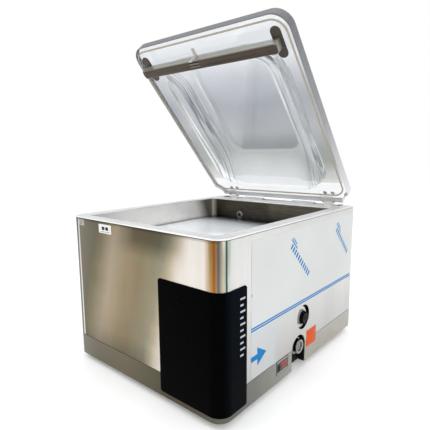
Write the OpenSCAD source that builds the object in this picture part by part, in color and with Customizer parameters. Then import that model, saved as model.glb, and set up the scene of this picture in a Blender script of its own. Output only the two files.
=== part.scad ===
// Table-top chamber vacuum packing machine, millimetres.
// Frame: origin at the middle of the footprint on the table, X to the machine's
// right, Y to the rear, Z up. Rest pose: lid open, as in the reference photo.

/* [Body] */
width = 490;            // over the side walls
depth = 600;            // over the front and rear walls
foot_h = 15;            // rubber feet under the base tray
band_h = 52;            // height of the base tray walls
top_z = 377;            // upper face of the top plate
corner_r = 29;          // the two front corners
sheet = 1.5;            // housing sheet

/* [Chamber] */
opening_x = 214.5;      // half width of the chamber opening
opening_front = -271;
opening_rear = 219;
chamber_floor = 256;    // upper face of the chamber floor
plate_h = 20;           // each filler plate

/* [Lid] */
lid_open = 48;          // opening in the rest pose, degrees
hinge_y = 286;
hinge_z = 372;
lid_gap = 3;            // top plate to lid underside when closed
lid_x = 243;            // half width of the lid
lid_front = -294;
lid_rear = 258;
lid_t = 25;             // thickness of the rim
lid_corner = 42;
tail_x = 219;           // narrow tail towards the hinge
tail_y = 277;

/* [Control panel] */
panel_left = 78;
panel_side = -222;      // where it ends on the right side
panel_z0 = 27;
panel_z1 = 277;
panel_t = 2.5;

/* [Hidden] */
$fn = 64;
hw = width / 2;
hd = depth / 2;
band_z = foot_h + band_h;
lid_z = top_z + lid_gap;      // underside of the closed lid
slot_y = -7;  slot_r = 31.8;  slot_top = 94.6;   // sight glass opening
cap_y = 14;   cap_z = 133;    // oil filler
pump_z = 105;                 // motor axis
port_z = 329;                 // suction port in the chamber
bar_y = -230.5;               // seal bar and counter bar

// ---------- shared shapes ----------
module plan(i) {            // footprint inset by i: round front corners
  translate([-(hw - i), -(hd - corner_r)])
    square([2 * (hw - i), depth - corner_r - i]);
  translate([-(hw - corner_r), -(hd - i)])
    square([2 * (hw - corner_r), corner_r]);
  for (s = [-1, 1])
    translate([s * (hw - corner_r), -(hd - corner_r)]) circle(r = corner_r - i);
}
module rrect(x0, x1, y0, y1, r) {
  translate([x0 + r, y0]) square([x1 - x0 - 2 * r, y1 - y0]);
  translate([x0, y0 + r]) square([x1 - x0, y1 - y0 - 2 * r]);
  for (x = [x0 + r, x1 - r], y = [y0 + r, y1 - r]) translate([x, y]) circle(r = r);
}
module box(x0, x1, y0, y1, z0, z1)
  translate([x0, y0, z0]) cube([x1 - x0, y1 - y0, z1 - z0]);
module cx(x0, x1, y, z, r)   // cylinder along X
  translate([x0, y, z]) rotate([0, 90, 0]) cylinder(r = r, h = x1 - x0);
module cy(x, y0, y1, z, r)   // cylinder along Y
  translate([x, y0, z]) rotate([-90, 0, 0]) cylinder(r = r, h = y1 - y0);
module cz(x, y, z0, z1, r) translate([x, y, z0]) cylinder(r = r, h = z1 - z0);
module yz(x0, x1)            // a profile drawn in (Y, Z), extruded along X
  translate([x0, 0, 0]) rotate([90, 0, 90]) linear_extrude(x1 - x0) children();
module lid_pose()
  translate([0, hinge_y, hinge_z]) rotate([-lid_open, 0, 0])
    translate([0, -hinge_y, -hinge_z]) children();
module slot_cut(x0, x1)      // arched opening for the sight glass
  yz(x0, x1) {
    translate([slot_y, slot_top - slot_r]) circle(r = slot_r);
    translate([slot_y - slot_r, foot_h - 2]) square([2 * slot_r, slot_top - slot_r - foot_h + 2]);
  }

// ---------- housing ----------
module base_tray() color([0.55, 0.54, 0.52]) difference() {
  union() {
    translate([0, 0, foot_h]) linear_extrude(2) plan(0);
    translate([0, 0, foot_h + 1]) linear_extrude(band_h - 1) difference() { plan(0); plan(sheet); }
    for (s = [-1, 1], y = [-200, 120, 250])      // tabs behind the joint
      box(s > 0 ? hw - 3 : -hw + sheet, s > 0 ? hw - sheet : -hw + 3, y - 20, y + 20, band_z - 12, band_z + 13);
    for (x = [-150, 0]) box(x - 20, x + 20, -hd + sheet, -hd + 3, band_z - 12, band_z + 13);
    for (x = [-150, 0, 150]) box(x - 20, x + 20, hd - 3, hd - sheet, band_z - 12, band_z + 13);
  }
  slot_cut(hw - 22, hw + 2);
  for (x = [-180 : 24 : -84], y = [-60, 0, 60]) translate([x, y, foot_h - 1]) linear_extrude(4) rrect(-8, 8, -18, 18, 4);
}
module housing_shell() color([0.72, 0.71, 0.68]) difference() {
  union() {
    translate([0, 0, band_z + 0.8]) linear_extrude(top_z - 4.2 - band_z - 0.8)
      difference() { plan(0); plan(sheet); translate([-hw + sheet, hd - 20]) square([width - 2 * sheet, 30]); }
    translate([0, 0, top_z - 5.7]) linear_extrude(sheet)
      difference() { plan(0.5); plan(13); translate([-hw + 13, hd - 40]) square([width - 26, 60]);
        translate([-hw + sheet, hd - sheet]) square([width - 2 * sheet, 10]); }
  }
  slot_cut(hw - 4, hw + 2);
  cx(hw - 4, hw + 2, cap_y, cap_z + 1.5, 30);
  box(98, 214, -hd - 1, -hd + 3, 83, 247);
}
module rear_panel() color([0.70, 0.69, 0.66]) difference() {
  box(-hw + sheet, hw - sheet, hd - sheet, hd, band_z + 0.8, top_z - 4.2);
  for (x = [-150, 60], z = [110 : 14 : 208]) box(x - 45, x + 45, hd - 3, hd + 1, z, z + 5);
  box(161, 189, hd - 3, hd + 1, 96, 118);
  box(164, 186, hd - 3, hd + 1, 136, 164);
}
module top_plate() color([0.86, 0.86, 0.85]) difference() {
  translate([0, 0, top_z - 3]) linear_extrude(3) plan(0);
  translate([0, 0, top_z - 4]) linear_extrude(5) {
    rrect(-opening_x, opening_x, opening_front, opening_rear, 14);
    translate([-216, 268]) square([432, 29]);
  }
}
module top_seal() color([0.08, 0.08, 0.08])
  translate([0, 0, top_z - 4.2]) linear_extrude(1.2)
    difference() { plan(3); plan(11); translate([-hw + 11, hd - 20]) square([width - 22, 30]); }
module chamber_tub() color([0.62, 0.61, 0.58]) difference() {
  union() {
    translate([0, 0, chamber_floor - 2]) linear_extrude(top_z - 3 - chamber_floor + 2)
      rrect(-opening_x - 2, opening_x + 2, opening_front - 2, opening_rear + 2, 16);
    translate([0, 0, top_z - 5]) linear_extrude(2)
      rrect(-opening_x - 12, opening_x + 12, opening_front - 12, opening_rear + 12, 26);
  }
  translate([0, 0, chamber_floor]) linear_extrude(top_z - chamber_floor)
    rrect(-opening_x, opening_x, opening_front, opening_rear, 14);
  cy(-100, opening_rear - 1, opening_rear + 3, port_z, 9);
}
module filler_plate(k) color([0.86, 0.90, 0.95])
  translate([0, 0, chamber_floor + k * plate_h]) linear_extrude(plate_h)
    rrect(-211, 211, -204, 215, 12);
module filler_plate_1() filler_plate(0);
module filler_plate_2() filler_plate(1);
module filler_plate_3() filler_plate(2);

// ---------- vacuum line ----------
module vacuum_port() color([0.75, 0.75, 0.74]) difference() {
  union() {
    cy(-100, opening_rear - 3.5, opening_rear, port_z, 12.4);
    cy(-100, opening_rear, opening_rear + 2, port_z, 8.9);
    cy(-100, opening_rear - 6.5, opening_rear - 3.5, port_z, 9.5);
  }
  cy(-100, opening_rear - 8, opening_rear + 3, port_z, 6.5);
}
module valve_block() color([0.78, 0.78, 0.80]) difference() {
  union() {
    box(-140, -60, opening_rear + 2, 262, 292, 345);
    cz(-118, 242, 345, 358, 11);
    cz(-84, 242, 345, 358, 11);
    cz(-75, 240, 280, 292, 9);
  }
  cy(-100, opening_rear + 1, 246, port_z, 6.5);
  cz(-75, 240, 279, 330, 6);
}
module ring2(r0, r1) difference() { circle(r = r1); circle(r = r0); }
module vacuum_hose() color([0.12, 0.12, 0.13]) {
  translate([-75, 240, 170]) linear_extrude(122) ring2(9, 13);
  translate([-55, 240, 170]) rotate([90, 0, 0]) rotate([0, 0, 180]) rotate_extrude(angle = 90)
    translate([20, 0]) ring2(9, 13);
  translate([-55, 240, 150]) rotate([0, 90, 0]) linear_extrude(55) ring2(9, 13);
  translate([0, 220, 150]) rotate_extrude(angle = 90)
    translate([20, 0]) ring2(9, 13);
  translate([20, 220, 150]) rotate([90, 0, 0]) linear_extrude(145) ring2(9, 13);
}

// ---------- controls ----------
module panel_plan(o, i) {      // o = outer offset from the housing, i = inner
  difference() {
    union() {
      translate([panel_left, -hd - o]) square([hw - corner_r - panel_left, 30]);
      translate([hw - 30, -hd + corner_r]) square([30 + o, panel_side + hd - corner_r]);
      translate([hw - corner_r, -hd + corner_r]) circle(r = corner_r + o);
    }
    translate([panel_left - 1, -hd + 0]) square([hw - corner_r - panel_left + 1, 60]);
    translate([0, -hd + corner_r]) square([hw, 90]);
    translate([hw - corner_r, -hd + corner_r]) circle(r = corner_r + i);
  }
}
module control_panel() color([0.02, 0.02, 0.03]) intersection() {
  translate([0, 0, panel_z0]) linear_extrude(panel_z1 - panel_z0) panel_plan(panel_t, 0.2);
  union() {
    translate([0, -hd + 20, 0]) rotate([90, 0, 0]) linear_extrude(40)
      rrect(panel_left, hw + 40, panel_z0, panel_z1, 9);
  }
  yz(0, hw + 10) rrect(-hd - 40, panel_side, panel_z0, panel_z1, 9);
}
module control_board() color([0.05, 0.30, 0.16]) {
  box(103, 210, -296, -294.4, 90, 240);
  for (x = [108, 205], z = [95, 235]) cy(x, -hd, -296, z, 3);
  box(118, 195, -294.4, -290, 190, 228);
  for (z = [110, 135, 160]) box(125, 150, -294.4, -288, z, z + 14);
}
module foot(x, y) color([0.06, 0.06, 0.06]) {
  cz(x, y, 4, foot_h, 20);
  translate([x, y, 0]) cylinder(r1 = 17, r2 = 20, h = 4);
}
module foot_front_left() foot(-200, -250);
module foot_front_right() foot(200, -250);
module foot_rear_left() foot(-200, 250);
module foot_rear_right() foot(200, 250);
module power_inlet() color([0.05, 0.05, 0.05]) difference() {
  union() {
    box(154, 196, hd, hd + 2.5, 91, 123);
    box(161.2, 188.8, hd - 22, hd, 96.2, 117.8);
  }
  box(164, 186, hd - 16, hd + 3, 99, 115);
}
module switch_frame() color([0.05, 0.05, 0.05]) difference() {
  union() {
    box(161, 189, hd, hd + 2, 133, 167);
    box(164.2, 185.8, hd - 14, hd, 136.2, 163.8);
  }
  box(167, 183, hd - 11, hd + 3, 139, 161);
  cx(165.4, 184.6, hd - 4, 150, 1.55);
}
module switch_rocker() color([0.55, 0.05, 0.04])
  translate([0, hd - 4, 150]) rotate([-8, 0, 0]) {
    yz(167.6, 182.4) polygon([[-2, -9.8], [7.6, -9], [5.2, 0], [7.6, 9], [-2, 9.8]]);
    cx(165.6, 184.4, 0, 0, 1.5);
  }

// ---------- pump ----------
module pump_block() color([0.33, 0.35, 0.38]) difference() {
  union() {
    box(-10, 115, -70, 70, 40, 165);
    for (z = [60 : 15 : 150]) box(0, 105, -76, -70, z, z + 6);
    cy(20, 70, 84, 150, 9);
  }
  cy(20, 60, 90, 150, 6);
}
module oil_casing() color([0.38, 0.40, 0.43]) difference() {
  union() {
    box(115, 222, -72, 72, 32, 178);
    cx(222, 236, cap_y, cap_z, 26);
    cx(222, 230, slot_y, 67, 22);
  }
  box(114, 214, -64, 64, 40, 170);
  cx(213, 237, cap_y, cap_z, 9);
  cx(213, 231, slot_y, 67, 9);
}
module sight_glass_ring() color([0.80, 0.80, 0.80]) difference() {
  union() {
    cx(230, 238, slot_y, 67, 21);
    cx(238, 249.5, slot_y, 67, 17.5);
  }
  cx(229, 250, slot_y, 67, 11);
}
module sight_glass_lens() color([0.75, 0.62, 0.30]) cx(240, 247.5, slot_y, 67, 11);
module oil_filler_cap() color([0.04, 0.04, 0.04]) {
  cx(224, 236.2, cap_y, cap_z, 8.95);
  cx(236.2, 243, cap_y, cap_z, 18.5);
  cx(243, 252, cap_y, cap_z, 13.5);
  for (a = [0 : 30 : 330]) translate([242, cap_y, cap_z]) rotate([a, 0, 0])
    translate([0, 12, -1.75]) cube([9, 3.2, 3.5]);
}
module oil_drain_plug() color([0.70, 0.58, 0.30]) {
  cx(222, 226, -48, 44, 9);
  translate([226, -48, 44]) rotate([0, 90, 0]) cylinder(r = 7, h = 6, $fn = 6);
}
module pump_motor() color([0.20, 0.28, 0.38]) difference() {
  union() {
    cx(-170, -10, 0, pump_z, 58);
    cx(-172, -166, 0, pump_z, 60.5);
    for (a = [-50 : 10 : 230]) translate([-150, 0, pump_z]) rotate([a, 0, 0]) translate([0, 56, -1.2]) cube([120, 7, 2.4]);
    box(-120, -60, -50, 50, 40, 60);
    box(-110, -50, -30, 30, 150, 185);
  }
  cx(-173, -150, 0, pump_z, 7.05);
}
module motor_rotor() color([0.60, 0.60, 0.62]) {
  cx(-198, -151, 0, pump_z, 7);
  cx(-194, -182, 0, pump_z, 16);
  for (a = [0 : 45 : 315]) translate([-194, 0, pump_z]) rotate([a, 0, 0]) translate([0, 14, -1]) cube([12, 34, 2]);
}
module fan_cover() color([0.15, 0.16, 0.18]) difference() {
  cx(-206, -172, 0, pump_z, 61);
  cx(-204, -171, 0, pump_z, 58.5);
  for (r = [20, 34, 48], a = [0 : 30 : 330]) translate([-207, 0, pump_z]) rotate([a, 0, 0])
    translate([0, r, 0]) rotate([0, 90, 0]) cylinder(r = 4, h = 4);
  cx(-207, -203, 0, pump_z, 9);
}
module pump_mounts() color([0.07, 0.07, 0.07])
  for (p = [[15, 50], [15, -50], [95, 50], [95, -50], [-90, 38], [-90, -38]])
    cz(p[0], p[1], foot_h + 2, 40, 14);
module seal_transformer() color([0.45, 0.35, 0.22]) {
  box(-215, -135, 130, 150, foot_h + 2, 105);
  box(-215, -135, 170, 190, foot_h + 2, 105);
  box(-205, -145, 150, 170, 25, 97);
}

// ---------- sealing ----------
module seal_cylinder(x) color([0.25, 0.25, 0.27]) difference() {
  union() {
    cz(x, bar_y, chamber_floor, 262, 24);
    cz(x, bar_y, 262, 296, 18);
  }
  cz(x, bar_y, 263, 297, 8.05);
}
module seal_cylinder_left() seal_cylinder(-150);
module seal_cylinder_right() seal_cylinder(150);
module seal_rods() color([0.75, 0.75, 0.77])
  for (x = [-150, 150]) cz(x, bar_y, 268, 311, 8);
module seal_bar() color([0.70, 0.70, 0.72]) difference() {
  box(-210, 210, bar_y - 8, bar_y + 8, 311, 340);
  box(-211, 211, bar_y - 9, bar_y - 5.5, 318, 330);
  box(-211, 211, bar_y + 5.5, bar_y + 9, 318, 330);
}
module seal_tape() color([0.45, 0.28, 0.12]) {
  box(-206, 206, bar_y - 7, bar_y + 7, 340, 340.6);
  box(-206, 206, bar_y - 1.6, bar_y + 1.6, 340.6, 341);
}

// ---------- hinge ----------
module hinge_channel() color([0.60, 0.60, 0.58]) difference() {
  box(-218, 218, 266, 297.5, 350, top_z - 3);
  box(-219, 219, 268, 296, 351.5, top_z);
}
module hinge_block(x0) color([0.50, 0.50, 0.52]) difference() {
  box(x0, x0 + 12, 277, 296, 351.5, 379);
  cx(x0 - 1, x0 + 13, hinge_y, hinge_z, 4);
}
module hinge_block_left() hinge_block(-216);
module hinge_block_right() hinge_block(204);
module hinge_shaft() color([0.72, 0.72, 0.74]) cx(-216, 216, hinge_y, hinge_z, 4);
module hinge_spring(x0) color([0.30, 0.31, 0.33]) {
  translate([x0, hinge_y, hinge_z]) rotate([0, 90, 0]) rotate_extrude()
    for (i = [0 : 19]) translate([7.7, 2 + i * 3.8]) circle(r = 2, $fn = 24);
  box(x0 + 0.3, x0 + 3.9, hinge_y - 2, hinge_y + 2, 351.5, hinge_z - 7.5);
}
module hinge_spring_left() hinge_spring(-130);
module hinge_spring_right() hinge_spring(54);

// ---------- lid (drawn closed, posed open) ----------
module ring(k, z, o)        // dome contours from the rim up to the plateau
  translate([0, 0, z]) linear_extrude(0.02)
    rrect(-[187, 170, 136, 120][k] - o, [187, 170, 136, 120][k] + o,
          [-228, -213, -190, -180][k] - o, [228, 200, 145, 114][k] + o,
          [84, 72, 52, 38][k] + o * 0.8);
module dome_in() for (k = [0 : 2]) hull() {
  ring(k, lid_z + [-0.02, 12, 40][k], 0);
  ring(k + 1, lid_z + [12, 40, 50][k], 0);
}
module dome_out() for (k = [0 : 2]) hull() {
  ring(k, lid_z + [24, 32, 58][k], 15);
  ring(k + 1, lid_z + [32, 58, 67.98][k], 15);
}
module lid_plan() {
  rrect(-lid_x, lid_x, lid_front, 100, lid_corner);
  polygon([[-lid_x, -100], [-lid_x, lid_rear - 14.5], [-0.94 * lid_x, lid_rear - 4.5],
           [-tail_x - 3.5, lid_rear + 2], [-tail_x - 0.5, lid_rear + 10], [-tail_x, tail_y],
           [tail_x, tail_y], [tail_x + 0.5, lid_rear + 10], [tail_x + 3.5, lid_rear + 2],
           [0.94 * lid_x, lid_rear - 4.5], [lid_x, lid_rear - 14.5], [lid_x, -100]]);
}
module gasket_ring(w) difference() {
  rrect(-233.7 - w, 233.7 + w, -282.2 - w, 245 + w, 34 + w);
  rrect(-233.7 + w, 233.7 - w, -282.2 + w, 245 - w, 34 - w);
}
module lid_shell() color([0.80, 0.84, 0.86, 0.45]) lid_pose() difference() {
  union() {
    translate([0, 0, lid_z]) linear_extrude(lid_t) lid_plan();
    dome_out();
  }
  dome_in();
  translate([0, 0, lid_z - 1]) linear_extrude(6) gasket_ring(3);
}
module lid_gasket() color([0.62, 0.57, 0.50]) lid_pose()
  translate([0, 0, lid_z - 2.6]) linear_extrude(7.6) gasket_ring(3);
module counter_bar() color([0.50, 0.50, 0.50]) lid_pose() difference() {
  box(-212, 212, bar_y - 11.5, bar_y + 11.5, lid_z - 27, lid_z - 2.4);
  box(-213, 213, bar_y - 9, bar_y + 9, lid_z - 28, lid_z - 22);
}
module silicone_strip() color([0.28, 0.24, 0.22]) lid_pose()
  box(-212, 212, bar_y - 9, bar_y + 9, lid_z - 28.5, lid_z - 22);
module bar_pad(x) color([0.17, 0.13, 0.11]) lid_pose()
  translate([0, 0, lid_z - 2.4]) linear_extrude(2.4) rrect(x - 12.5, x + 12.5, -267.5, -194.5, 12.4);
module bar_pad_left() bar_pad(-207);
module bar_pad_right() bar_pad(207);
module hinge_arm(x) color([0.55, 0.55, 0.56]) lid_pose() difference() {
  union() {
    box(x - 20, x + 20, 250, 278, lid_z - 2.4, lid_z);
    yz(x - 12, x + 12) {
      translate([hinge_y, hinge_z]) circle(r = 8);
      polygon([[270, lid_z], [hinge_y, lid_z], [hinge_y + 7, hinge_z + 3], [hinge_y - 3, hinge_z - 7], [270, lid_z - 2.4]]);
    }
  }
  cx(x - 13, x + 13, hinge_y, hinge_z, 4.05);
}
module hinge_arm_left() hinge_arm(-175);
module hinge_arm_right() hinge_arm(175);
module lid_screws() color([0.78, 0.78, 0.80]) lid_pose()
  for (x = [-187, -163, 163, 187]) {
    cz(x, 256, lid_z + lid_t, lid_z + lid_t + 3.5, 6);
  }
module rear_screws() color([0.78, 0.78, 0.80])
  for (x = [-230, 0, 230], z = [78, 362]) cy(x, hd, hd + 2, z, 4);

// ---------- sheets on the outside ----------
module protective_film() color([0.86, 0.89, 0.93]) {
  box(hw, hw + 0.3, -205, 288, 176, 360);
  box(hw, hw + 0.3, -205, -113, 69, 176);
}
module front_label() color([0.92, 0.92, 0.92]) box(-126, -78, -hd - 0.4, -hd, 347, 368);
module side_sticker() color([0.93, 0.37, 0.16]) box(hw, hw + 0.4, 31.5, 82, 49, 92);
module band_label() color([0.45, 0.45, 0.46]) box(hw, hw + 0.4, -108, -56, 34, 66);

base_tray();
housing_shell();
rear_panel();
top_plate();
top_seal();
chamber_tub();
filler_plate_1();
filler_plate_2();
filler_plate_3();
vacuum_port();
valve_block();
vacuum_hose();
control_panel();
control_board();
foot_front_left();
foot_front_right();
foot_rear_left();
foot_rear_right();
power_inlet();
switch_frame();
switch_rocker();
pump_block();
oil_casing();
sight_glass_ring();
sight_glass_lens();
oil_filler_cap();
oil_drain_plug();
pump_motor();
motor_rotor();
fan_cover();
pump_mounts();
seal_transformer();
seal_cylinder_left();
seal_cylinder_right();
seal_bar();
seal_tape();
seal_rods();
hinge_channel();
hinge_block_left();
hinge_block_right();
hinge_shaft();
hinge_spring_left();
hinge_spring_right();
lid_shell();
lid_gasket();
counter_bar();
silicone_strip();
bar_pad_left();
bar_pad_right();
hinge_arm_left();
hinge_arm_right();
lid_screws();
rear_screws();
protective_film();
front_label();
side_sticker();
band_label();
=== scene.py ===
"""Chamber vacuum packing machine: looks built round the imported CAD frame."""
from functools import partialmethod
from math import atan2, copysign, cos, hypot, pi, radians, sin, sqrt

import bpy
import bmesh
from mathutils import Matrix, Vector


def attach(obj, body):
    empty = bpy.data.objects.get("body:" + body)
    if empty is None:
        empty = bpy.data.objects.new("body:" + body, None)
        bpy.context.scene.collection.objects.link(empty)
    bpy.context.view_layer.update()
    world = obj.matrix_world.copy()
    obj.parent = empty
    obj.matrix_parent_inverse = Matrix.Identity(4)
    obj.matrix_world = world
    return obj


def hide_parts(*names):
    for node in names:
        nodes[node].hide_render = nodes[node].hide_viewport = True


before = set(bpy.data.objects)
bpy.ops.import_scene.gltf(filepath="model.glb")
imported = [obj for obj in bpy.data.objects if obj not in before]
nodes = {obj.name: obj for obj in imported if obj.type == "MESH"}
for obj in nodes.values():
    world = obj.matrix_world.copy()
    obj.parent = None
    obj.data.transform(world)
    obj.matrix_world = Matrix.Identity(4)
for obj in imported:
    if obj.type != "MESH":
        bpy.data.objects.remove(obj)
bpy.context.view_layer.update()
scene = bpy.context.scene
scene.view_settings.view_transform = "Standard"

# Shapes are worked out in mm and turned into metres as the mesh is made.
MM = 0.001
SIDE, FRONT = 245, 300  # side and front faces of the housing, from the middle
CORNER = 29               # radius of the housing's front corners
BEND = SIDE - CORNER        # x where the front starts to turn into the corner
LID_Z, RIM = 380, 25    # underside of the closed lid, and the thickness of its rim
BAR_Y, BAR_HALF = -230.5, 212  # counter bar under the closed lid: its middle and half length
CAP, GLASS = (0, 14, 133), (0, -7, 67)  # a point on the axis of the filler cap and sight glass
HINGE = Vector((0, 0.286, 0.372))
OPEN = radians(48)
# A point of the closed lid to its place in the open rest pose.
LID = Matrix.Translation(HINGE) @ Matrix.Rotation(-OPEN, 4, "X") @ Matrix.Translation(-HINGE)


# --- camera
def make_camera():
    """The photograph's camera, solved from the edges of the body and the lid."""
    yaw, pitch, roll = -0.7061, 0.15183, -0.0077
    place, focal, width = Vector((0.68479, -0.82991, 0.52833)), 401.93, 430
    sensor = 36
    cam = bpy.data.objects.new("camera", bpy.data.cameras.new("camera"))
    scene.collection.objects.link(cam)
    fwd = Vector((sin(yaw) * cos(pitch), cos(yaw) * cos(pitch), -sin(pitch)))
    right = Vector((cos(yaw), -sin(yaw), 0))
    up = right.cross(fwd)
    x_axis = cos(roll) * right + sin(roll) * up
    y_axis = -sin(roll) * right + cos(roll) * up
    m = Matrix((x_axis, y_axis, -fwd)).transposed().to_4x4()
    m.translation = place
    cam.matrix_world = m
    cam.data.sensor_width = sensor
    cam.data.lens = sensor * focal / width
    cam.data.clip_start, cam.data.clip_end = 0.05, 30
    scene.camera = cam


# --- node helpers
def srgb(r, g, b):
    """An sRGB colour of 0 to 255 as linear values."""
    def linear(c):
        c /= 255
        return c / 12.92 if c <= 0.04045 else ((c + 0.055) / 1.055) ** 2.4
    return (linear(r), linear(g), linear(b))


def tones(stops):
    """(position, red, green, blue) rows as the stops of a ramp."""
    return [(place, srgb(*colour)) for place, *colour in stops]


class Tree:
    """Short names for building a node tree."""

    def __init__(self, tree):
        self.tree = tree
        tree.nodes.clear()

    def node(self, kind, **settings):
        made = self.tree.nodes.new("ShaderNode" + kind)
        for name, value in settings.items():
            setattr(made, name, value)
        return made

    def give(self, socket, value):
        """Link an output to a socket, or set the socket's own value."""
        if hasattr(value, "is_output"):
            self.tree.links.new(value, socket)
        else:
            socket.default_value = value

    @staticmethod
    def rgba(c):
        return (c, c, c, 1) if isinstance(c, (int, float)) else (*c, 1)

    def noise(self, vec, scale, detail=3, rough=0.55):
        n = self.node("TexNoise")
        for name, value in (("Vector", vec), ("Scale", scale), ("Detail", detail),
                            ("Roughness", rough)):
            self.give(n.inputs[name], value)
        return n.outputs[0]

    def ramp(self, fac, stops):
        """A linear ramp through (position, grey or colour) stops."""
        r = self.node("ValToRGB")
        e = r.color_ramp.elements
        while len(e) > 1:
            e.remove(e[-1])
        e[0].position, e[0].color = stops[0][0], self.rgba(stops[0][1])
        for place, colour in stops[1:]:
            e.new(place).color = self.rgba(colour)
        self.give(r.inputs[0], fac)
        return r.outputs[0]

    def fade(self, fac, start, end, low=0, high=1):
        """From low at start to high at end, flat beyond them."""
        return self.ramp(fac, [(start, low), (end, high)])

    def math(self, op, *values, clamp=False):
        m = self.node("Math", operation=op, use_clamp=clamp)
        for socket, value in zip(m.inputs, values):
            self.give(socket, value)
        return m.outputs[0]

    add = partialmethod(math, "ADD")
    sub = partialmethod(math, "SUBTRACT")
    mul = partialmethod(math, "MULTIPLY")
    muladd = partialmethod(math, "MULTIPLY_ADD")
    abs = partialmethod(math, "ABSOLUTE")

    def max(self, first, *others):
        for other in others:
            first = self.math("MAXIMUM", first, other)
        return first

    def neg(self, a):
        return self.mul(a, -1)

    def mix(self, fac, a, b, mode="MIX"):
        m = self.node("Mix", data_type="RGBA", blend_type=mode)
        self.give(m.inputs[0], fac)
        for i, v in ((6, a), (7, b)):
            self.give(m.inputs[i], v if hasattr(v, "is_output") else self.rgba(v))
        return m.outputs[2]

    def times(self, a, b):
        return self.mix(1, a, b, "MULTIPLY")

    def xyz(self, source=None):
        s = self.node("SeparateXYZ")
        self.give(s.inputs[0], self.co if source is None else source)
        return s.outputs


SOCKETS = {
    "color": "Base Color", "rough": "Roughness", "metallic": "Metallic", "ior": "IOR",
    "spec": "Specular IOR Level", "coat": "Coat Weight", "coat_rough": "Coat Roughness",
    "clear": "Transmission Weight", "glow": "Emission Color", "glow_power": "Emission Strength"}


class Net(Tree):
    """A material: one Principled surface, with patterns by the object's own coordinates."""

    def __init__(self, name):
        self.mat = bpy.data.materials.new(name)
        self.mat.use_nodes = True
        super().__init__(self.mat.node_tree)
        self.bsdf = self.node("BsdfPrincipled")
        self.give(self.node("OutputMaterial").inputs[0], self.bsdf.outputs[0])
        self.co = self.node("TexCoord").outputs["Object"]

    def put(self, **values):
        """Give the surface a colour (color, glow) or other settings by their short names."""
        for key, value in values.items():
            if key in ("color", "glow") and not hasattr(value, "is_output"):
                value = self.rgba(value)
            self.give(self.bsdf.inputs[SOCKETS[key]], value)

    def scale(self, size):
        m = self.node("Mapping")
        m.inputs["Scale"].default_value = size
        self.give(m.inputs["Vector"], self.co)
        return m.outputs[0]

    def cloud(self, scale, detail, *span):
        return self.fade(self.noise(self.co, scale, detail), *span)

    def bump(self, height, strength, distance):
        b = self.node("Bump")
        for name, value in (("Strength", strength), ("Distance", distance), ("Height", height)):
            self.give(b.inputs[name], value)
        self.give(self.bsdf.inputs["Normal"], b.outputs[0])


def finish(name, base, rough, metallic=0, grain=60, vary=0.12, bump=0.1, stretch=(1, 1, 1),
           uneven=0.08, coat=0, spec=0.5):
    """A general finish: cloudy colour and roughness, with a fine surface texture."""
    n = Net(name)
    v = n.scale(stretch)
    dark = tuple(c * (1 - vary) for c in base)
    light = tuple(min(1, c * (1 + vary)) for c in base)
    n.put(color=n.fade(n.noise(v, grain * 0.12, 4), 0.25, 0.75, dark, light))
    n.put(rough=n.fade(n.noise(v, grain), 0.3, 0.7, max(0.02, rough - uneven), rough + uneven),
          metallic=metallic, spec=spec)
    if coat:
        n.put(coat=coat, coat_rough=0.05)
    n.bump(n.noise(v, grain * 14, 3), bump, 0.0006)
    return n.mat


def brushed(name, base, along, rough, strength, metallic=1, vary=1):
    """Brushed metal: long fine scratches along one axis. Returns the net, for tinted()."""
    n = Net(name)
    fine, lengthwise = 900, 6
    size = [lengthwise if axis == along else fine for axis in "XYZ"]
    hair = n.noise(n.scale(size), 1, 5, 0.7)
    wide = n.noise(n.scale([v / 40 if v == fine else v / 4 for v in size]), 1, 3)
    cloud = n.noise(n.scale((1, 1, 1)), 7, 3)

    def shade(amount):
        return tuple(min(1, c * (1 + amount * vary)) for c in base)
    n.grain = n.mix(0.5, n.fade(hair, 0.25, 0.8, shade(-0.14), shade(0.08)),
                    n.fade(wide, 0.3, 0.7, shade(-0.1), shade(0.08)))
    n.put(color=n.grain, metallic=metallic)
    n.put(rough=n.add(n.mul(hair, 0.16), n.muladd(cloud, 0.12, rough - 0.13)))
    n.bump(hair, strength, 0.0002)
    return n


def tinted(n, zone):
    """The material of a brushed net, tinted by the colour of each zone."""
    n.put(color=n.times(zone, n.grain))
    return n.mat


# --- mesh helpers
def mm(*point):
    return tuple(c * MM for c in point)


def add_mesh(name, shape, keys, slot=None, node=None, smooth=35, body="housing",
             face_mats=None):
    """A new piece riding on a body, and standing for a CAD node. Shape is (verts, faces),
    keys name its finishes, and edges sharper than smooth degrees stay sharp. A piece of the
    lid is made on the closed lid."""
    me = bpy.data.meshes.new(name)
    me.from_pydata(shape[0], [], shape[1])
    me.validate()
    if body == "lid":
        me.transform(LID)
    bm = bmesh.new()
    bm.from_mesh(me)
    bmesh.ops.recalc_face_normals(bm, faces=bm.faces)
    bm.to_mesh(me)
    bm.free()
    for key in keys:
        me.materials.append(M[key])
    if face_mats:
        me.polygons.foreach_set("material_index", face_mats)
    me.polygons.foreach_set("use_smooth", [True] * len(me.polygons))
    me.set_sharp_from_angle(angle=radians(smooth))
    ob = bpy.data.objects.new(name, me)
    scene.collection.objects.link(ob)
    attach(ob, body)
    if node:
        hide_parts(node)
    return ob


def refine(node, key, width, segments=2):
    """A CAD node keeps its shape, and gets softened edges and a finish."""
    ob = nodes[node]
    ob.data.materials.clear()
    ob.data.materials.append(M[key])
    if width:
        ob.modifiers.new("weld", "WELD").merge_threshold = 1e-6
        m = ob.modifiers.new("bevel", "BEVEL")
        m.width, m.segments = width, segments
        m.limit_method, m.angle_limit = "ANGLE", radians(35)
        m.harden_normals = True


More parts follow.
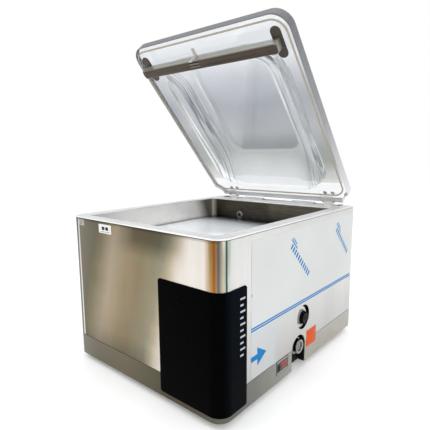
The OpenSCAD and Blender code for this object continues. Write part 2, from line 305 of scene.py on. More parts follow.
def loft(rings, ends=False, wrap=False):
    """Faces between rings of equal length, with flat ends or joined last to first."""
    n, count = len(rings[0]), len(rings)
    faces = []
    for k in range(count if wrap else count - 1):
        a, b = k * n, (k + 1) % count * n
        faces += [(a + i, a + (i + 1) % n, b + (i + 1) % n, b + i) for i in range(n)]
    if ends:
        last = (count - 1) * n
        faces += [tuple(range(n))[::-1], tuple(range(last, last + n))]
    return [p for r in rings for p in r], faces


def sheet_ends(starts, n, m):
    """End faces of a loft of m-point rings that fold back on themselves: n points out, n back."""
    return [(k + i, k + i + 1, k + m - 2 - i, k + m - 1 - i)
            for k in starts for i in range(n - 1)]


def gather(parts):
    """Several (verts, faces) pairs as one."""
    verts, faces = [], []
    for v, f in parts:
        faces += [tuple(i + len(verts) for i in face) for face in f]
        verts += v
    return verts, faces


def rounded(x0, x1, y0, y1, r, n):
    """A rounded rectangle as a list of (x, y), counter-clockwise."""
    out = []
    for cx, cy, a0 in ((x1 - r, y0 + r, -90), (x1 - r, y1 - r, 0), (x0 + r, y1 - r, 90),
                       (x0 + r, y0 + r, 180)):
        out += arc(cx, cy, r, a0, a0 + 90, n)
    return out


def arc(x0, y0, r, a0, a1, n):
    """n + 1 points of an arc from a0 to a1 degrees."""
    angles = [radians(a0 + (a1 - a0) * k / n) for k in range(n + 1)]
    return [(x0 + r * cos(a), y0 + r * sin(a)) for a in angles]


def cast(poly, cx, cy, angle):
    """Where the ray from (cx, cy) leaves a star-shaped outline."""
    dx, dy = cos(angle), sin(angle)
    best = None
    for i in range(len(poly)):
        ax, ay = poly[i]
        bx, by = poly[(i + 1) % len(poly)]
        ex, ey = bx - ax, by - ay
        det = ex * dy - ey * dx
        if abs(det) < 1e-12:
            continue
        t = ((ay - cy) * ex - (ax - cx) * ey) / det
        s = (dx * (ay - cy) - dy * (ax - cx)) / det
        if -1e-9 <= s <= 1 + 1e-9 and t > 0 and (best is None or t > best):
            best = t
    return (cx + dx * best, cy + dy * best)


def spun(profile, centre, axis, segments, shape=None):
    """Rings round an axis from (distance, radius) pairs; shape(k, r, a) may change a radius."""
    cx, cy, cz = mm(*centre)
    rings = []
    for k, (distance, r) in enumerate(profile):
        ring = []
        for i in range(segments):
            a = 2 * pi * i / segments
            q = shape(k, r, a) if shape else r
            d, u, v = mm(distance, q * cos(a), q * sin(a))
            ring.append({"X": (cx + d, cy + u, cz + v), "Y": (cx + u, cy + d, cz + v),
                         "Z": (cx + u, cy + v, cz + d)}[axis])
        rings.append(ring)
    return rings


def turned(name, profile, centre, axis, segments, keys, slot=None, node=None, smooth=32,
           body="housing", shape=None):
    """A turned part; a profile that ends where it starts makes a hollow ring."""
    rings = spun(profile, centre, axis, segments, shape)
    hollow = profile[0] == profile[-1]
    solid = loft(rings[:-1], wrap=True) if hollow else loft(rings, ends=True)
    return add_mesh(name, solid, keys, slot, node, smooth, body)


def extrude_x(profile, half, chamfer):
    """A (y, z) profile run along x from -half to half, with slightly turned-in ends."""
    cy = sum(p[0] for p in profile) / len(profile)
    cz = sum(p[1] for p in profile) / len(profile)

    def ring(x, inset):
        return [mm(x, y - copysign(inset, y - cy), z - copysign(inset, z - cz))
                for y, z in profile]
    end, edge = chamfer * 0.6, half - chamfer
    return loft([ring(-half, end), ring(-edge, 0), ring(edge, 0), ring(half, end)], ends=True)


# --- lid
def lid_outline(grow=0):
    """The lid's edge, in metres: round front corners, and rear corners cut back in steps."""
    half, front, radius = 243 + grow, -294 - grow, 42 + grow
    corner = arc(half - radius, front + radius, radius, -90, 0, 14)
    back = [(243, 243.5), (228.4, 253.5), (222.5, 260), (219.5, 268), (219, 277)]
    right = corner + [(x + grow, y + grow) for x, y in back]
    return [mm(x, y) for x, y in right + [(-x, y) for x, y in right[::-1]]]


def dome_ring(t, grow):
    """One contour of the dome wall, in metres: t is 0 at the rim and 1 at the plateau."""
    # half width, front, rear and corner radius at each place along the wall
    keys = ((187, -228, 228, 84), (170, -213, 200, 72), (136, -190, 145, 52), (120, -180, 114, 38))
    places = (0, 0.27, 0.74, 1)
    k = next(i for i in range(3) if t <= places[i + 1] + 1e-9)
    u = (t - places[k]) / (places[k + 1] - places[k])
    x, y0, y1, r = (a + (b - a) * u for a, b in zip(keys[k], keys[k + 1]))
    return rounded(*mm(-(x + grow), x + grow, y0 - grow, y1 + grow, r + grow * 0.8), 10)


def wall_z(t, depth):
    """Height of the dome wall: a straight flank with a small radius at the foot and shoulder."""
    bend = 0.09
    k = 1 / (1 - bend)
    if t < bend:
        return depth * k * t * t / (2 * bend)
    if t > 1 - bend:
        return depth * (1 - k * (1 - t) ** 2 / (2 * bend))
    return depth * k * (t - bend / 2)


def lid_glass():
    """The clear lid as one closed shell: inside of the dome, underside, edge, top, outside."""
    cx, cy = 0, -0.02
    inside, outside, wall = 50, 43, 6  # dome heights over the rim's faces, wall thickness
    outline = lid_outline()
    angles = sorted({round(atan2(y - cy, x - cx), 6) for x, y in outline}
                    | {round(radians(k * 1.5 - 180), 6) for k in range(240)})

    def ring(poly, z, scale=1):
        hits = [cast(poly, cx, cy, a) for a in angles]
        return [(cx + (x - cx) * scale, cy + (y - cy) * scale, z * MM) for x, y in hits]

    def crown(grow, z, scales):
        return [ring(dome_ring(1, grow), z, scale) for scale in scales]

    def flank(grow, z, depth, steps):
        return [ring(dome_ring(t, grow), z + wall_z(t, depth)) for t in steps]

    low, top = LID_Z, LID_Z + RIM
    steps = [0, 0.02, 0.04, 0.065, 0.09, 0.14, 0.27, 0.42, 0.58, 0.74, 0.86, 0.91, 0.935, 0.96,
             0.98, 1]
    scales = (0.12, 0.4, 0.75, 0.93, 0.985)
    # each run of rings, with the slot of the faces that start at its rings:
    # 0 clear, 1 sawn edge, 2 bent flank
    runs = (
        (0, crown(0, low + inside, scales)),
        (2, flank(0, low, inside, steps[::-1])),
        (0, [ring(line, low) for line in
             (dome_ring(0, 2), dome_ring(0, 8), lid_outline(-8), lid_outline(-3))]),
        (1, [ring(lid_outline(-1.6), low)] + [ring(outline, z) for z in
                                              (low + 1.6, low + 4, top - 4, top - 1.6)]),
        (0, [ring(line, top) for line in (lid_outline(-1.6), lid_outline(-3), dome_ring(0, 14))]),
        (2, [ring(dome_ring(0, 8), top)] + flank(wall, top, outside, steps)),
        (0, crown(wall, top + outside, scales[::-1])),
    )
    rings = [r for _, run in runs for r in run]
    per_ring = [k for k, run in runs for _ in run]
    face_mats = [k for k in per_ring[:-1] for _ in angles] + [0, 0]
    add_mesh("lid_glass", loft(rings, ends=True), ("clear", "edge", "flank"), "acrylic",
             "lid_shell", 50, "lid", face_mats)


def lid_gasket():
    """Sealing lip: a narrow rounded bead standing proud of the lid's underside."""
    half, front, rear, radius = 233.7, -282.2, 245, 34
    section = ((-1.9, 0.4), (-1.9, -1.3), (-1.45, -2.1), (-0.7, -2.5), (0, -2.6), (0.7, -2.5),
               (1.45, -2.1), (1.9, -1.3), (1.9, 0.4))
    rings = [[mm(x, y, LID_Z + z) for x, y in
              rounded(-half - off, half + off, front - off, rear + off, radius + off, 16)]
             for off, z in section]
    add_mesh("lid_seal_bead", loft(rings, wrap=True), ["gasket"], "gasket", "lid_gasket", 60, "lid")


# --- world and lights
def make_world():
    """Plain pale light. Rays that don't come from the camera also meet a dim backdrop, low
    down behind the machine, which gives the clear lid something to bend."""
    world = bpy.data.worlds.new("studio")
    scene.world = world
    world.use_nodes = True
    t = Tree(world.node_tree)
    place = t.node("TexCoord").outputs["Generated"]
    height = t.muladd(t.xyz(place)[2], 0.5, 0.5)
    pale = t.ramp(height, [
        (0, 0.75), (0.47, (0.84, 0.83, 0.81)), (0.52, (0.72, 0.72, 0.71)),
        (0.62, (0.86, 0.87, 0.88)), (0.8, 1), (1, (0.95, 0.97, 1))])
    wave = t.muladd(t.noise(place, 5, 3, 0.5), 0.05, -0.025)
    dim = t.ramp(t.add(height, wave), [
        (0.44, 0.94), (0.458, (0.9, 0.9, 0.89)), (0.475, (0.66, 0.67, 0.65)),
        (0.49, (0.4, 0.43, 0.39)), (0.505, (0.36, 0.38, 0.37)), (0.53, (0.48, 0.49, 0.51)),
        (0.56, (0.4, 0.42, 0.46)), (0.585, (0.6, 0.62, 0.66)), (0.605, (0.84, 0.86, 0.89)),
        (0.68, (0.95, 0.97, 1))])
    facing = t.node("VectorMath", operation="DOT_PRODUCT")
    facing.inputs[1].default_value = (-0.65, 0.76, 0)
    t.give(facing.inputs[0], place)
    behind = t.muladd(facing.outputs["Value"], 2, -0.9, clamp=True)
    unseen, seen = t.node("Background"), t.node("Background")
    t.give(unseen.inputs[0], t.mix(behind, pale, dim))
    unseen.inputs[1].default_value = 0.95
    seen.inputs[0].default_value = (1, 1, 1, 1)
    either = t.node("MixShader")
    t.give(either.inputs[0], t.node("LightPath").outputs["Is Camera Ray"])
    t.give(either.inputs[1], unseen.outputs[0])
    t.give(either.inputs[2], seen.outputs[0])
    t.give(t.node("OutputWorld").inputs[0], either.outputs[0])


def area(name, place, target, size, power):
    light = bpy.data.lights.new(name, "AREA")
    light.energy, light.size = power, size
    ob = bpy.data.objects.new(name, light)
    ob.location = place
    ob.rotation_mode = "QUATERNION"
    ob.rotation_quaternion = (Vector(target) - Vector(place)).to_track_quat("-Z", "Y")
    scene.collection.objects.link(ob)


def make_floor():
    me, s = bpy.data.meshes.new("floor"), 6
    me.from_pydata([(-s, -s, 0), (s, -s, 0), (s, s, 0), (-s, s, 0)], [], [(0, 1, 2, 3)])
    ob = bpy.data.objects.new("floor", me)
    n = Net("floor")
    n.put(color=n.cloud(3, 2, 0.3, 0.7, 0.9, 0.93))
    n.put(rough=0.85, spec=0.2, glow=1, glow_power=0.16)
    me.materials.append(n.mat)
    scene.collection.objects.link(ob)


# --- finishes
def band(n, v, a, b, soft=0.0006):
    """1 between a and b, with soft ends."""
    return n.mul(n.mul(n.sub(v, a), 1 / soft, clamp=True),
                 n.mul(n.sub(b, v), 1 / soft, clamp=True))


def along_sheet(n, x, y):
    """Distance along the housing's sheet, from where its near corner starts to bend."""
    return n.add(n.sub(x, BEND * MM), n.add(y, FRONT * MM))


def lid_axes(n):
    """The open lid's own axes, from the hinge: across, along towards the rear, and up."""
    x, y, z = n.xyz()
    dy, dz = n.sub(y, HINGE.y), n.sub(z, HINGE.z)
    run = n.sub(n.mul(dy, cos(OPEN)), n.mul(dz, sin(OPEN)))
    up = n.add(n.mul(dy, sin(OPEN)), n.mul(dz, cos(OPEN)))
    return x, run, up


def steel_front():
    """Housing wrap: brushed upright, with painted reflections: the warm and bright zones the
    polished sheet shows on its front and round the near corner."""
    stops = [
        (0.00, 170, 166, 154), (0.03, 140, 134, 120), (0.1, 126, 118, 104),
        (0.19, 108, 103, 84), (0.23, 124, 116, 88), (0.28, 152, 140, 117),
        (0.32, 170, 155, 133), (0.38, 160, 146, 120), (0.42, 150, 136, 108),
        (0.49, 143, 128, 102), (0.56, 146, 140, 114), (0.6, 158, 150, 130),
        (0.635, 190, 178, 153), (0.665, 218, 208, 194), (0.7, 236, 230, 222),
        (0.762, 240, 234, 227), (0.775, 212, 188, 160), (0.788, 182, 160, 118),
        # painted reflections: the coloured lines round the near corner
        (0.796, 204, 132, 44), (0.804, 160, 98, 38), (0.811, 188, 148, 108),
        (0.822, 96, 104, 116), (0.833, 190, 174, 144), (0.846, 216, 214, 202),
        (0.8525, 190, 194, 180), (0.8555, 52, 88, 62), (0.8605, 52, 84, 62),
        (0.8635, 200, 214, 204), (0.872, 226, 228, 222), (0.9, 236, 236, 234)]
    n = brushed("steel_wrap", (0.82, 0.82, 0.82), "Z", 0.3, 0.18)
    x, y, z = n.xyz()
    s, back = along_sheet(n, x, y), n.add(y, FRONT * MM)
    # the zones lean a little and drift, on the flat front only
    flat = n.fade(n.neg(s), 0.02, 0.07)
    drift = n.sub(n.noise(n.scale((1, 1, 2)), 7, 2), 0.5)
    lean = n.mul(n.sub(0.35, z), 0.33)
    shift = n.mul(flat, n.muladd(drift, 0.03, lean))
    place = n.add(n.add(s, n.mul(drift, 0.002)), shift)
    f = n.muladd(place, 1 / 0.6, 0.78, clamp=True)
    zone = n.ramp(f, tones(stops))
    # painted reflections: nearer the top and the foot the front mirrors darker parts of its
    # surroundings, and the side face darkens towards its foot
    wide = n.ramp(f, [(0.3, 0), (0.42, 1), (0.56, 1), (0.68, 0)])
    top = n.mix(wide, 1, n.ramp(z, [(0.31, 1), (0.345, 0.44), (0.372, 0.4)]))
    foot = n.mix(n.fade(f, 0.6, 0.66, 1, 0), 1,
                 n.ramp(z, [(0.07, 0.62), (0.115, 0.92), (0.17, 1)]))
    side = n.ramp(z, [(0.07, 0.74), (0.16, 0.84), (0.3, 0.97), (0.37, 0.97)])
    zone = n.times(zone, n.mix(n.fade(s, 0.02, 0.04), n.times(top, foot), side))
    # painted light at the far left corner: a left side painted paler, then a painted white
    # highlight line and a dark painted reflection band
    left = n.mul(n.fade(n.neg(x), 0.236, 0.244), n.fade(back, 0.012, 0.03))
    zone = n.mix(left, zone, srgb(206, 205, 200))
    front = n.fade(back, 0.006, 0.012, 1, 0)
    white = n.mul(front, band(n, x, -0.2165, -0.21, 0.0015))
    zone = n.mix(white, zone, srgb(226, 224, 220))
    dark = n.mul(n.fade(back, 0.002, 0.014, 1, 0), band(n, x, -0.24, -0.2165, 0.0012))
    zone = n.mix(dark, zone, srgb(92, 90, 88))
    # a shaded lip under the top plate
    zone = n.times(zone, n.mix(n.mul(front, n.fade(z, 0.3685, 0.3715)), 1, 0.62))
    # faint blotches of warmer and greener tone, as handled steel has
    blotch = n.fade(n.noise(n.scale((1, 1, 1.3)), 26, 5, 0.65), 0.36, 0.64,
                    (1.03, 0.965, 0.955), (0.945, 1, 0.955))
    zone = n.mix(n.fade(f, 0.62, 0.72, 1, 0.25), zone, n.times(zone, blotch))
    return tinted(n, zone)


def steel_band():
    """Base tray, with painted reflections: warm at the front, greyer and paler towards the
    rear of the side.
    """
    stops = [(0, 134, 130, 118), (0.12, 118, 111, 94), (0.26, 121, 112, 92),
             (0.38, 104, 98, 79), (0.44, 88, 80, 67), (0.52, 100, 92, 76),
             (0.6, 108, 106, 96), (0.7, 126, 126, 121), (0.9, 172, 171, 164),
             (1, 192, 189, 180)]
    n = brushed("steel_band", (0.78, 0.78, 0.77), "X", 0.34, 0.2)
    x, y, z = n.xyz()
    f = n.muladd(along_sheet(n, x, y), 1 / 0.8, 0.58, clamp=True)
    return tinted(n, n.ramp(f, tones(stops)))


def seam_grey():
    """Sealant under the top plate, painted with the shadow of its gap: brown along the front,
    paler down the sides.
    """
    n = Net("seam_seal")
    x, y, z = n.xyz()
    mottle = n.noise(n.co, 60, 4)
    # painted shadow of the gap along the front; the sides are painted pale against the shade
    front = n.fade(mottle, 0.25, 0.75, srgb(48, 39, 31), srgb(70, 59, 49))
    side = n.fade(mottle, 0.25, 0.75, srgb(214, 210, 204), srgb(232, 229, 224))
    n.put(color=n.mix(n.fade(n.abs(x), 0.225, 0.24), front, side))
    n.put(rough=n.fade(mottle, 0.3, 0.7, 0.52, 0.68))
    n.bump(n.noise(n.co, 840), 0.1, 0.0006)
    return n.mat


def steel_chamber():
    """Chamber, with painted shade: bright near the front, dark at its far end."""
    n = brushed("steel_chamber", (0.97, 0.97, 0.96), "X", 0.27, 0.15, 0.32, 0.5)
    x, y, z = n.xyz()
    # painted shade: the far end dark, darkest low down
    deep = n.fade(n.add(y, n.mul(n.sub(z, 0.32), 0.5)), 0.145, 0.195)
    upper = n.mix(n.fade(x, -0.1, 0.02), srgb(62, 56, 46), srgb(90, 85, 71))
    far = n.mix(n.fade(z, 0.318, 0.362), srgb(44, 38, 30), upper)
    far = n.mix(n.fade(n.neg(x), 0.2, 0.208), far, srgb(112, 108, 98))
    zone = n.mix(deep, srgb(250, 249, 246), far)
    # a painted highlight down the bend at the far left corner
    bend = n.mul(n.fade(n.add(x, 0.215), 0.006, 0.016, 1, 0), n.fade(y, 0.19, 0.2))
    zone = n.mix(n.mul(bend, 0.5), zone, srgb(150, 146, 134))
    # the walls are painted darker towards the front, and a painted contact shadow runs along
    # the top filler plate
    near = n.ramp(n.add(y, FRONT * MM), [(0.06, 0.64), (0.16, 0.84), (0.28, 1)])
    contact_shadow = n.fade(z, 0.3185, 0.3212, 0.45, 1)
    return tinted(n, n.times(zone, n.mul(near, contact_shadow)))


def rail_grey():
    """Anodised rail: pale on its flanks and ends, with painted shade on the lips that face down."""
    n = brushed("rail_grey", (0.98, 0.98, 0.97), "X", 0.36, 0.12, 0.8)
    x, run, up = lid_axes(n)
    # painted shade on the lower lips
    lip = n.fade(n.neg(up), 0.0175, 0.0188)
    end = n.fade(n.abs(x), 0.2108, 0.2114)
    zone = n.mix(lip, srgb(166, 167, 160), srgb(88, 80, 70))
    return tinted(n, n.mix(end, zone, srgb(206, 207, 200)))


def silicone_brown():
    """Dark counter strip with three dashes on a paler patch, where the tape is folded round."""
    n = Net("silicone_brown")
    x, run, up = lid_axes(n)
    streak = n.noise(n.scale((4, 260, 260)), 1, 4, 0.7)
    base = n.fade(streak, 0.3, 0.7, srgb(54, 46, 38), srgb(88, 79, 69))
    patch = band(n, x, -0.037, -0.004, 0.0012)
    comb = n.math("COSINE", n.muladd(run, 898, 463.8))
    dashes = n.mix(n.fade(comb, 0.05, 0.3), srgb(122, 113, 103), srgb(3, 3, 3))
    n.put(color=n.mix(n.mul(patch, 0.85), base, dashes))
    n.put(rough=n.fade(streak, 0.3, 0.7, 0.42, 0.55), spec=0.12)
    n.bump(streak, 0.3, 0.0003)
    return n.mat


def plastic_board():
    """White filler plates, cut by use, that mirror the dark far end of the chamber."""
    n = Net("filler_board")
    x, y, z = n.xyz()
    place = n.add(n.mul(n.sub(n.noise(n.co, 9, 2), 0.5), 0.015), y)
    far = n.ramp(place, [(0.075, 0), (0.13, 0.24), (0.17, 0.72), (0.2, 1)])
    base = n.mix(far, srgb(240, 243, 245), srgb(34, 40, 44))
    cuts = n.noise(n.scale((60, 2, 2)), 16, 5, 0.7)
    n.put(color=n.mix(0.05, base, n.fade(cuts, 0.45, 0.55, 0.8, 1), "MULTIPLY"))
    n.put(rough=n.fade(cuts, 0.3, 0.7, 0.07, 0.13))
    n.bump(n.noise(n.co, 900), 0.04, 0.0002)
    return n.mat


def panel_black():
    """Glossy black cover with a painted bluish sheen on its side face; pale dashes down its side
    face stand in for the printing.
    """
    n = Net("panel_black")
    x, y, z = n.xyz()
    dust = n.noise(n.co, 220, 4, 0.6)
    black = n.fade(dust, 0.4, 0.8, (0.0004, 0.0005, 0.0006), (0.0011, 0.0012, 0.0013))
    # painted bluish sheen on the side face, stronger towards the top
    side = n.mul(n.fade(n.sub(x, 0.2), 0.044, 0.0474), n.fade(z, 0.03, 0.26, 0.35, 1))
    base = n.mix(side, black, (0.0018, 0.0035, 0.0062))
    start, first, pitch, tall = -0.245, 0.252, 0.0128, 0.0044
    dashes = []
    for k in range(10):
        low, wide = first - pitch * k, (0.0165, 0.011)[k % 2]
        dashes.append(n.mul(band(n, y, start, start + wide), band(n, z, low, low + tall)))
    n.put(color=n.mix(n.mul(n.max(*dashes), 0.9), base, (0.5, 0.53, 0.56)))
    n.put(rough=n.cloud(12, 4, 0.3, 0.7, 0.08, 0.15), spec=0.01)
    n.bump(n.noise(n.co, 14, 2), 0.05, 0.0008)
    return n.mat


# Lower than real acrylic's 1.49, at which the bent flanks use up the renderer's bounces.
ACRYLIC_IOR = 1.2


def acrylic_clear():
    """Clear lid; the raised crown is faintly smoky against the rim."""
    n = Net("acrylic_clear")
    x, run, up = lid_axes(n)
    cloud = n.cloud(5, 2, 0.3, 0.7)
    clear = n.mix(cloud, (0.955, 0.962, 0.967), (0.98, 0.985, 0.985))
    smoky = n.mix(cloud, (0.87, 0.89, 0.92), (0.93, 0.945, 0.955))
    n.put(color=n.mix(n.fade(up, 0.03, 0.062), clear, smoky))
    n.put(clear=1, ior=ACRYLIC_IOR, coat=0.8, coat_rough=0.01)
    n.put(rough=n.cloud(30, 4, 0.5, 0.8, 0, 0.012))
    return n.mat


def acrylic_flank():
    """The bent flanks of the dome: clear, with the faint bloom that stretched acrylic has, and
    painted dark streaks of reflection.
    """
    n = Net("acrylic_flank")
    x, y, z = n.xyz()
    cloud = n.cloud(6, 3, 0.3, 0.7)
    clear = n.mix(cloud, (0.9, 0.92, 0.94), (0.96, 0.97, 0.975))
    # painted reflections: fine dark streaks that run the length of the side flanks, most of
    # them on the left
    streak = n.noise(n.scale((75, 2, 2)), 1, 3, 0.55)
    line = n.fade(n.abs(n.sub(streak, 0.5)), 0.016, 0.042, 1, 0)
    place = n.ramp(n.add(x, 0.5), [(0.305, 0), (0.318, 1), (0.348, 1), (0.358, 0.3),
                                   (0.385, 0), (0.62, 0), (0.64, 0.8)])
    n.put(color=n.mix(n.mul(line, place), clear, (0.28, 0.3, 0.33)))
    n.put(clear=0.75, ior=ACRYLIC_IOR, rough=n.cloud(30, 4, 0.5, 0.8, 0, 0.02))
    return n.mat


def acrylic_edge():
    """The sawn and dulled edge of the lid's rim, paler towards the hinge."""
    n = Net("acrylic_edge")
    grain = n.noise(n.scale((30, 30, 30)), 12, 4)
    x, run, up = lid_axes(n)
    rear = n.ramp(n.add(run, 0.6), [(0.02, 0), (0.3, 0.28), (0.52, 0.85), (0.56, 1)])
    dark = n.fade(grain, 0.3, 0.7, srgb(74, 76, 79), srgb(110, 112, 114))
    pale = n.fade(grain, 0.3, 0.7, srgb(206, 207, 209), srgb(222, 222, 224))
    n.put(color=n.mix(rear, dark, pale))
    n.put(rough=n.fade(grain, 0.3, 0.7, 0.3, 0.5))
    n.bump(n.noise(n.co, 700), 0.15, 0.0004)
    return n.mat


def film_print():
    """Peel-off film: pale sheet with a blue double stripe, an arrow and slanted blocks."""
    n = Net("film")
    x, y, z = n.xyz()

    def box(a0, a1, b0, b1, a=y, b=z):
        return n.mul(band(n, a, a0, a1), band(n, b, b0, b1))

    ink = n.max(band(n, z, 0.1767, 0.1807, 0.0003), band(n, z, 0.1715, 0.1755, 0.0003))
    # arrow pointing to the rear
    shaft = box(-0.206, -0.178, 0.1065, 0.1185)
    tip = n.sub(n.mul(n.sub(-0.149, y), 0.6), n.abs(n.sub(z, 0.1125)))
    head = n.mul(n.mul(tip, 1 / 0.0006, clamp=True), band(n, y, -0.1835, -0.148))
    # and a short mark at the film's front edge
    ink = n.max(ink, n.max(shaft, head), box(-0.2045, -0.202, 0.245, 0.253))
    # slanted blocks in place of the printed words: u runs along the slant, w across it
    for y0, z0, span, force in ((-0.052, 0.336, 0.092, 1), (0.186, 0.339, 0.086, 0.95)):
        u = n.add(n.sub(y, y0), n.sub(z0, z))
        w = n.sub(n.sub(y, y0), n.sub(z0, z))
        comb = n.muladd(n.math("SINE", n.mul(u, 395)), 0.5, 0.5)
        word = n.mul(n.fade(comb, 0.34, 0.44), band(n, w, -0.022, -0.002))
        word = n.mul(word, band(n, u, 0.01, span * 2))
        bars = n.max(box(0.001, 0.0065, 0, 0.052, w, u), box(0.01, 0.015, 0.004, 0.04, w, u))
        ink = n.max(ink, n.mul(n.max(word, bars), force))
    ink = n.mul(ink, n.cloud(90, 4, 0.3, 0.6, 0.96, 1))
    lower = n.mix(n.fade(z, 0.07, 0.17), srgb(186, 190, 190), srgb(196, 199, 200))
    pale = n.mix(n.fade(z, 0.1695, 0.1715, 1, 0), srgb(206, 208, 207), lower)
    pale = n.mix(0.5, pale, n.cloud(4, 3, 0.3, 0.7, 0.86, 1), "MULTIPLY")
    n.put(color=n.mix(ink, pale, srgb(0, 114, 176)))
    n.put(rough=n.cloud(25, 3, 0.3, 0.7, 0.3, 0.44), spec=0.06)
    n.bump(n.noise(n.scale((1, 2, 6)), 10, 3), 0.35, 0.0012)
    return n.mat


# every finish by its key
M = dict(
    wrap=steel_front(), band=steel_band(), chamber=steel_chamber(), seam=seam_grey(),
    rail=rail_grey(), silicone=silicone_brown(), board=plastic_board(), panel=panel_black(),
    clear=acrylic_clear(), flank=acrylic_flank(), edge=acrylic_edge(), film=film_print(),
    # sheet steel and machined metal
    top=brushed("steel_top", (0.9, 0.895, 0.88), "X", 0.28, 0.14, 0.75, 0.35).mat,
    steel=brushed("steel_plain", (0.5, 0.49, 0.47), "Z", 0.33, 0.2).mat,
    arm=brushed("hinge_arm_bright", (0.88, 0.88, 0.87), "Z", 0.3, 0.12, 0.45).mat,
    rear=brushed("steel_rear", (0.52, 0.51, 0.49), "X", 0.36, 0.2).mat,
    machined=brushed("machined", (0.66, 0.66, 0.67), "X", 0.28, 0.15).mat,
    anod=brushed("anodised_grey", (0.215, 0.213, 0.205), "X", 0.4, 0.12, 0.75).mat,
    # castings and small metal parts
    pump=finish("cast_grey", (0.16, 0.165, 0.175), 0.5, metallic=0.2, bump=0.5, grain=40, vary=0.2),
    casing=finish("die_cast", (0.34, 0.345, 0.36), 0.42, metallic=0.8, bump=0.4, grain=40,
                  vary=0.15),
    # a pale collar metal, also painted lighter to stand out of the shade round the filler cap
    collar=finish("cast_collar", (0.8, 0.8, 0.79), 0.4, metallic=0.15, bump=0.3, grain=50,
                  vary=0.08),
    port=finish("port_metal", (0.3, 0.29, 0.27), 0.24, metallic=0.9, bump=0.05, vary=0.1),
    ring=finish("glass_ring", (0.27, 0.27, 0.26), 0.12, metallic=1, bump=0.04, vary=0.1,
                uneven=0.05),
    chrome=finish("chrome", (0.8, 0.8, 0.8), 0.09, metallic=1, bump=0.03, vary=0.05,
                  uneven=0.04),
    brass=finish("brass", (0.62, 0.44, 0.16), 0.25, metallic=1, bump=0.05),
    spring=finish("spring_steel", (0.56, 0.56, 0.55), 0.3, metallic=0.9),
    core=finish("core_laminate", (0.22, 0.16, 0.09), 0.5, metallic=0.4, bump=0.4,
                stretch=(1, 40, 1)),
    # plastics, rubber, glass and paint
    rubber=finish("rubber_black", (0.016, 0.016, 0.017), 0.62, bump=0.25, grain=80),
    lens=finish("oil_glass", (0.075, 0.085, 0.07), 0.06, bump=0.02, coat=0.6, vary=0.35,
                grain=160),
    matt_black=finish("plastic_matt_black", (0.014, 0.014, 0.015), 0.45, bump=0.3, grain=90),
    pcb=finish("board_green", (0.02, 0.13, 0.06), 0.4, coat=0.3),
    red=finish("rocker_red", (0.4, 0.02, 0.015), 0.25, bump=0.05, coat=0.4),
    knob=finish("knob_black", (0.005, 0.0055, 0.0055), 0.3, bump=0.2, grain=90, vary=0.2,
                spec=0.05),
    # near-black, standing in for the shade inside the arched slot
    slot=finish("slot_black", (0.004, 0.004, 0.004), 0.6, bump=0.2, grain=70, spec=0.1),
    flange=finish("flange_grey", srgb(150, 150, 147), 0.42, bump=0.2, grain=90, vary=0.1, spec=0.3),
    blue=finish("motor_paint", (0.05, 0.085, 0.14), 0.38, bump=0.3, vary=0.15),
    tape=finish("tape_pale", srgb(178, 170, 164), 0.25, bump=0.2, grain=50, vary=0.06, coat=0.4),
    ptfe=finish("ptfe_cloth", (0.26, 0.14, 0.055), 0.4, bump=0.6, grain=200),
    gasket=finish("gasket_tan", srgb(168, 158, 142), 0.6, bump=0.5, grain=160, vary=0.1),
    clip=finish("clip_brown", srgb(60, 50, 42), 0.5, bump=0.3, grain=90, vary=0.2),
)


# --- carried-over nodes
# CAD nodes that stay as they are: finish, width of the softened edges in mm, nodes
CARRIED = (
    ("wrap", 0.6, "housing_shell"), ("band", 0.6, "base_tray"), ("top", 0.8, "top_plate"),
    ("rear", 0.4, "rear_panel"), ("seam", 0, "top_seal"),
    ("chamber", 0.6, "chamber_tub"), ("port", 0.4, "vacuum_port"),
    ("casing", 0.6, "valve_block hinge_block_left hinge_block_right"),
    ("casing", 1, "oil_casing"), ("pump", 1, "pump_block"),
    ("rubber", 0, "vacuum_hose"), ("rubber", 1, "pump_mounts"),
    ("matt_black", 0.5, "power_inlet switch_frame fan_cover"),
    ("matt_black", 0.8, "seal_cylinder_left seal_cylinder_right"),
    ("pcb", 0.2, "control_board"), ("red", 0.5, "switch_rocker"),
    ("brass", 0.4, "oil_drain_plug"), ("blue", 0.8, "pump_motor"),
    ("machined", 0.3, "motor_rotor"), ("core", 0.6, "seal_transformer"),
    ("chrome", 0.3, "seal_rods"), ("anod", 0.6, "seal_bar"), ("ptfe", 0.2, "seal_tape"),
    ("steel", 0.5, "hinge_channel"), ("machined", 0.4, "hinge_shaft"),
    ("spring", 0, "hinge_spring_left hinge_spring_right"),
    ("arm", 0.5, "hinge_arm_left hinge_arm_right"))


def carried():
    for key, width, names in CARRIED:
        for node in names.split():
            refine(node, key, width * MM)
    for k in (1, 2, 3):
        refine("filler_plate_%d" % k, "board", 0.0012, 3)


